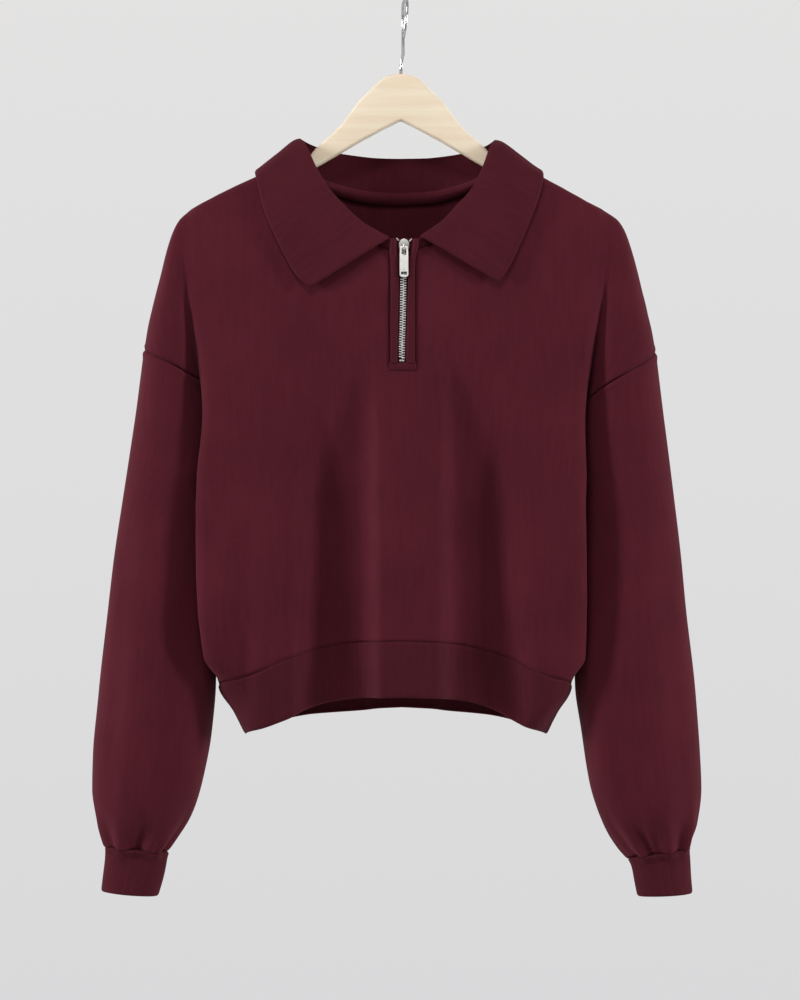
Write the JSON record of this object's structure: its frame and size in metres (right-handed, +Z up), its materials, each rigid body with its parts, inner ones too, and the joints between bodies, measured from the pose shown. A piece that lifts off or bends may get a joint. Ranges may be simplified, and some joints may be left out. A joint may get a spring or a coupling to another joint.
{
  "type": "polo sweater with a half zip, hanging on a wooden coat hanger",
  "caption": "Cropped knit polo sweater with a turn-down collar, half zip, balloon sleeves and ribbed hem and cuffs, hanging open on a flat wooden hanger with a steel hook.",
  "frame": {"origin": "the inner crown of the hanger's hook, where a rail carries it", "axes": "+X to the viewer's right, -Y out of the garment's front, +Z up"},
  "size_m": [0.5483, 0.1077, 0.8095],
  "materials": {
    "knit": "matt fine-gauge burgundy knit",
    "rib": "matt fine burgundy rib",
    "tape": "matt dark burgundy woven tape",
    "zip_metal": "polished nickel",
    "wood": "smooth pale satin",
    "steel": "smooth steel wire"
  },
  "bodies": {
    "garment": {"front_panel": "knit", "back_panel": "knit", "sleeve_left": "knit", "sleeve_right": "knit", "cuff_left": "rib", "cuff_right": "rib", "hem_front": "rib", "hem_back": "rib", "collar": "knit", "neck_tape": "tape", "placket_left": "rib", "placket_right": "rib", "placket_bar": "rib", "zip_tape_left": "tape", "zip_tape_right": "tape", "zip_chain": "zip_metal", "zip_stop_top_left": "zip_metal", "zip_stop_top_right": "zip_metal", "zip_stop_bottom": "zip_metal", "zip_slider": "zip_metal", "hanger_wood": "wood", "hanger_hook": "steel"},
    "pull_tab": {"zip_pull": "zip_metal"}
  },
  "joints": [
    {"name": "pull_tab_hinge", "type": "hinge", "parent": "garment", "child": "pull_tab", "pos_m": [0.0022, -0.03081, -0.2252], "axis": [-1, 0, 0], "range_deg": [0, 160]}
  ]
}
